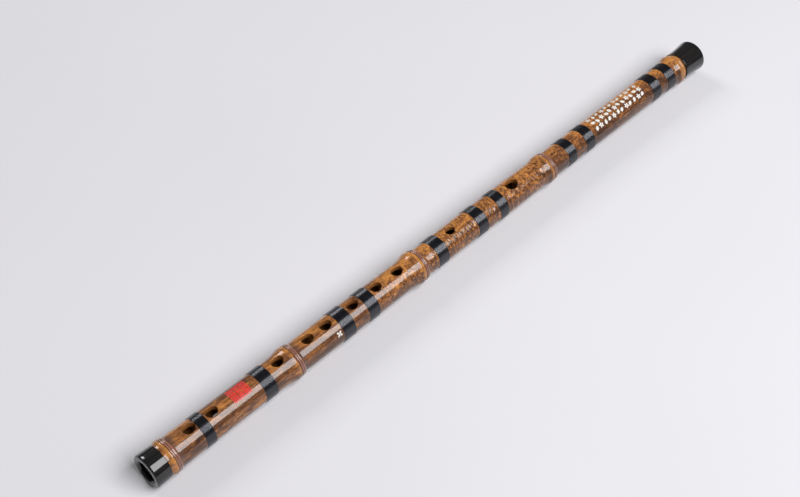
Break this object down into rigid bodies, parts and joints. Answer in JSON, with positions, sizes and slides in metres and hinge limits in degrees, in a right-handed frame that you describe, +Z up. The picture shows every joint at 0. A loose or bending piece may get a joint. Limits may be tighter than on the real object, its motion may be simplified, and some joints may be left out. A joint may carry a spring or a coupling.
{
  "type": "dizi",
  "caption": "Sectional bamboo transverse flute with a blow hole, membrane hole and oval finger holes, thread bindings, black end caps and a brass tuning slide.",
  "frame": {"origin": "on the surface that the flute lies on, under the middle of its length and below its axis", "axes": "+X from the open foot end to the closed head end, +Z up, on the side of the blow hole and finger holes, +Y completes the right-handed frame"},
  "size_m": [0.5196, 0.0236, 0.0237],
  "materials": {
    "bamboo": "clear lacquer over mottled brown bamboo",
    "thread": "fine black thread under gloss lacquer",
    "horn": "polished black horn",
    "brass": "fine turned brass",
    "cork": "plain cork"
  },
  "bodies": {
    "body_section": {"body_tube": "bamboo", "foot_cap": "horn", "tenon_socket": "brass", "thread_binding_01": "thread", "thread_binding_02": "thread", "thread_binding_03": "thread", "thread_binding_04": "thread", "thread_binding_05": "thread", "thread_binding_06": "thread"},
    "tenon": {"tuning_tenon": "brass"},
    "head_section": {"head_tube": "bamboo", "head_cap": "horn", "stopper_cork": "cork", "thread_binding_07": "thread", "thread_binding_08": "thread", "thread_binding_09": "thread", "thread_binding_10": "thread", "thread_binding_11": "thread"}
  },
  "joints": [
    {"name": "tuning_slide", "type": "slide", "parent": "body_section", "child": "tenon", "axis": [1, 0, 0], "range_m": [0, 0.01]},
    {"name": "head_turn", "type": "hinge", "parent": "tenon", "child": "head_section", "pos_m": [0.03125, 0, 0.01183], "axis": [1, 0, 0], "continuous": true}
  ]
}
